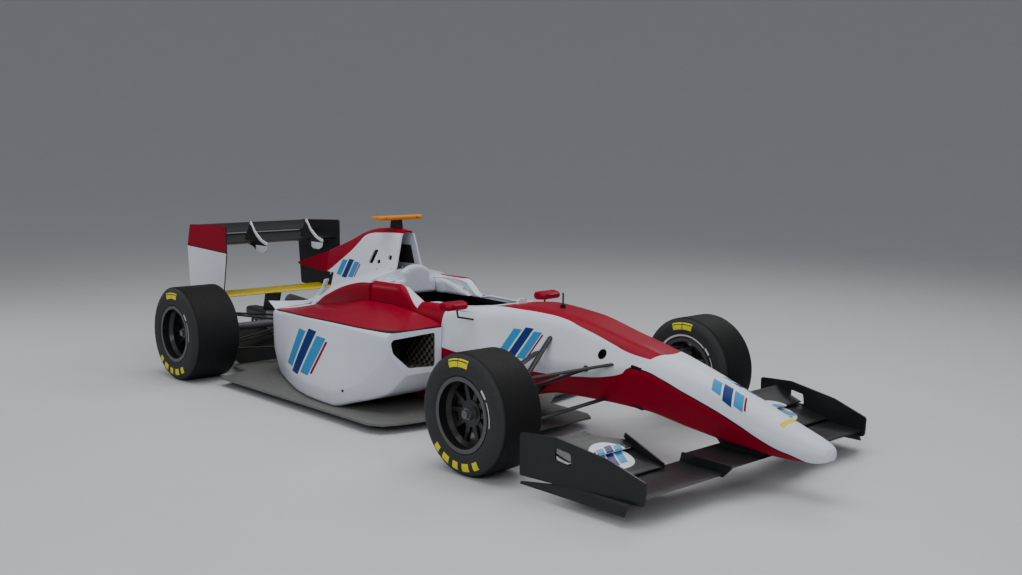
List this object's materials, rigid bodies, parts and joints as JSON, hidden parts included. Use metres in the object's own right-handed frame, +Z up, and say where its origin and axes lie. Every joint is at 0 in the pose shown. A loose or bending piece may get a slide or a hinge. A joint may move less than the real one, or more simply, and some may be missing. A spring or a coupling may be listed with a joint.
{
  "type": "open wheel racing car",
  "caption": "Open wheel single seat racing car with winged nose, sidepods, airbox with fin and rear wing; wheels roll and the front ones steer with the steering wheel.",
  "frame": {"origin": "on the ground, at the middle of the length and the width", "axes": "+X forward along the nose, +Y to the car's left, +Z up"},
  "size_m": [4.848, 1.88, 1.0718],
  "materials": {
    "paint_white": "gloss",
    "paint_red": "gloss",
    "paint_yellow": "gloss",
    "paint_orange": "gloss",
    "carbon": "satin",
    "core": "matte",
    "floor_board": "matte",
    "padding": "matte",
    "rim": "satin",
    "tyre": "matte",
    "steel": "brushed",
    "alloy": "cast",
    "lamp": "gloss"
  },
  "bodies": {
    "chassis": {"monocoque": "paint_white", "nose_cone": "paint_white", "front_wing": "carbon", "front_wing_flaps": "carbon", "front_wing_end_plates": "carbon", "headrest": "padding", "seat": "carbon", "dash": "carbon", "aerial": "carbon", "mirrors": "paint_red", "airbox": "paint_white", "engine_cover": "paint_white", "fin": "paint_red", "camera_pod": "paint_orange", "sidepod_right": "paint_white", "sidepod_left": "paint_white", "radiators": "core", "floor": "floor_board", "plank": "carbon", "diffuser": "carbon", "engine": "alloy", "gearbox": "alloy", "exhaust": "steel", "crash_box": "carbon", "rain_light": "lamp", "rear_wing": "carbon", "rear_wing_flap": "carbon", "rear_wing_end_plates": "paint_white", "beam_wing": "paint_yellow", "front_upper_wishbones": "carbon", "front_lower_wishbones": "carbon", "front_pushrods": "carbon", "rear_upper_wishbones": "carbon", "rear_lower_wishbones": "carbon", "rear_pushrods": "carbon", "rear_uprights": "steel"},
    "steering_wheel": {"steering_wheel": "carbon"},
    "rack": {"steering_rack": "carbon"},
    "knuckle_right": {"knuckle_right": "steel"},
    "knuckle_left": {"knuckle_left": "steel"},
    "wheel_front_right": {"wheel_front_right": "rim", "tyre_front_right": "tyre", "disc_front_right": "steel"},
    "wheel_front_left": {"wheel_front_left": "rim", "tyre_front_left": "tyre", "disc_front_left": "steel"},
    "wheel_rear_right": {"wheel_rear_right": "rim", "tyre_rear_right": "tyre", "disc_rear_right": "steel"},
    "wheel_rear_left": {"wheel_rear_left": "rim", "tyre_rear_left": "tyre", "disc_rear_left": "steel"}
  },
  "joints": [
    {"name": "steer_left", "type": "hinge", "parent": "chassis", "child": "knuckle_left", "pos_m": [1.072, 0.7355, 0.2875], "axis": [0, 0, 1], "range_deg": [-18, 18]},
    {"name": "steer_right", "type": "hinge", "parent": "chassis", "child": "knuckle_right", "pos_m": [1.072, -0.7355, 0.2875], "axis": [0, 0, 1], "range_deg": [-18, 18]},
    {"name": "rack_slide", "type": "slide", "parent": "chassis", "child": "rack", "axis": [0, 1, 0], "range_m": [-0.027, 0.027]},
    {"name": "steering_wheel_turn", "type": "hinge", "parent": "chassis", "child": "steering_wheel", "pos_m": [0.332, 0, 0.548], "axis": [-1, 0, 0], "range_deg": [-165, 165]},
    {"name": "spin_front_left", "type": "hinge", "parent": "knuckle_left", "child": "wheel_front_left", "pos_m": [1.072, 0.8075, 0.2875], "axis": [0, 1, 0], "continuous": true},
    {"name": "spin_front_right", "type": "hinge", "parent": "knuckle_right", "child": "wheel_front_right", "pos_m": [1.072, -0.8075, 0.2875], "axis": [0, 1, 0], "continuous": true},
    {"name": "spin_rear_left", "type": "hinge", "parent": "chassis", "child": "wheel_rear_left", "pos_m": [-1.708, 0.78, 0.295], "axis": [0, 1, 0], "continuous": true},
    {"name": "spin_rear_right", "type": "hinge", "parent": "chassis", "child": "wheel_rear_right", "pos_m": [-1.708, -0.78, 0.295], "axis": [0, 1, 0], "continuous": true}
  ],
  "couplings": [
    {"joint": "steer_right", "follows": "steer_left", "ratio": 1},
    {"joint": "rack_slide", "follows": "steer_left", "m_per_rad": 0.084},
    {"joint": "steering_wheel_turn", "follows": "steer_left", "ratio": 9}
  ]
}
